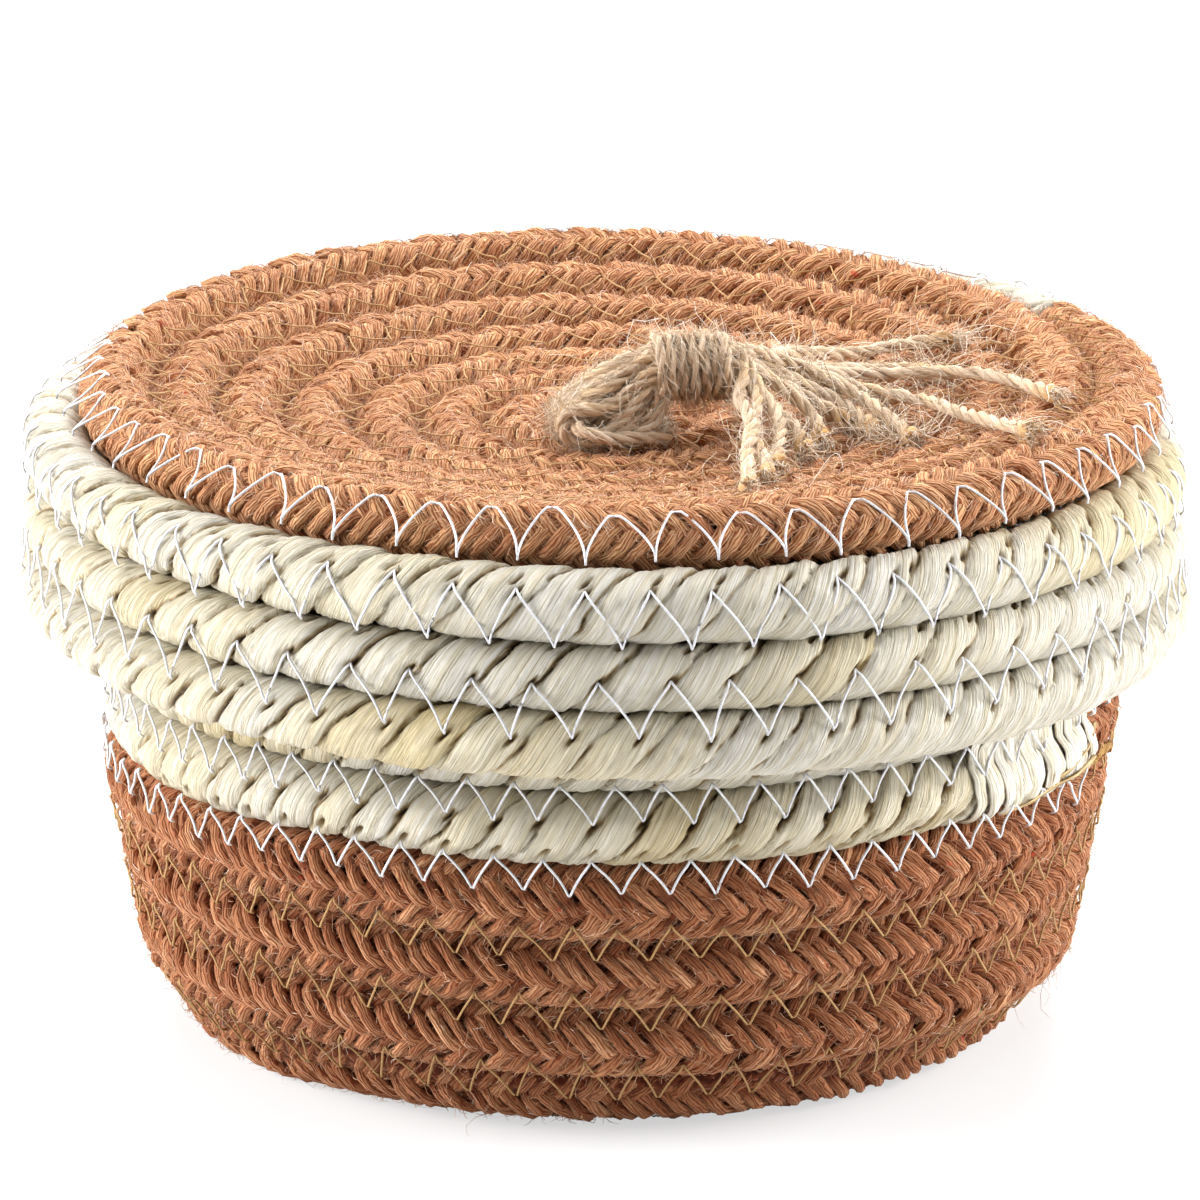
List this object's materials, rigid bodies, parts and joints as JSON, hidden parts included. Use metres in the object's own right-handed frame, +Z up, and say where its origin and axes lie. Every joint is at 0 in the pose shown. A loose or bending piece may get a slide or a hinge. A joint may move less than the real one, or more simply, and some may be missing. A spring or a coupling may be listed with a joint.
{
  "type": "lidded coiled basket",
  "caption": "Round knitting basket of coiled cotton and corn-husk cord, with a lift-off lid that fits over the rim and a jute tassel on the lid.",
  "frame": {"origin": "centre of the bounding box, at the flat underside of the base that stands on the table", "axes": "+Z up, out through the lid; -Y the front; +X to the right, where the tassel's strands lie"},
  "size_m": [0.1705, 0.1703, 0.106],
  "materials": {
    "cotton_cord": "braided terracotta cotton cord, fuzzy",
    "husk_cord": "cord wrapped in dried corn husk, cream, slightly glossy",
    "jute": "twisted jute yarn, hairy"
  },
  "bodies": {
    "basket": {"base_cotton_cord": "cotton_cord", "wall_cotton_cord": "cotton_cord", "rim_husk_cord": "husk_cord"},
    "lid": {"lid_cotton_cord": "cotton_cord", "lid_husk_cord": "husk_cord", "tassel_anchor_cord": "jute", "anchor_knot": "jute"},
    "tassel": {"tassel_yarn_1": "jute", "tassel_yarn_2": "jute", "tassel_yarn_3": "jute", "tassel_yarn_4": "jute", "tassel_yarn_5": "jute", "tassel_yarn_6": "jute", "tassel_binding": "jute"}
  },
  "joints": [
    {"name": "lid_lift", "type": "slide", "parent": "basket", "child": "lid", "axis": [0, 0, 1], "range_m": [0, 0.12]},
    {"name": "tassel_lift", "type": "hinge", "parent": "lid", "child": "tassel", "pos_m": [-0.005, -0.016, 0.0933], "axis": [0.0872, -0.9962, 0], "range_deg": [0, 100]}
  ]
}
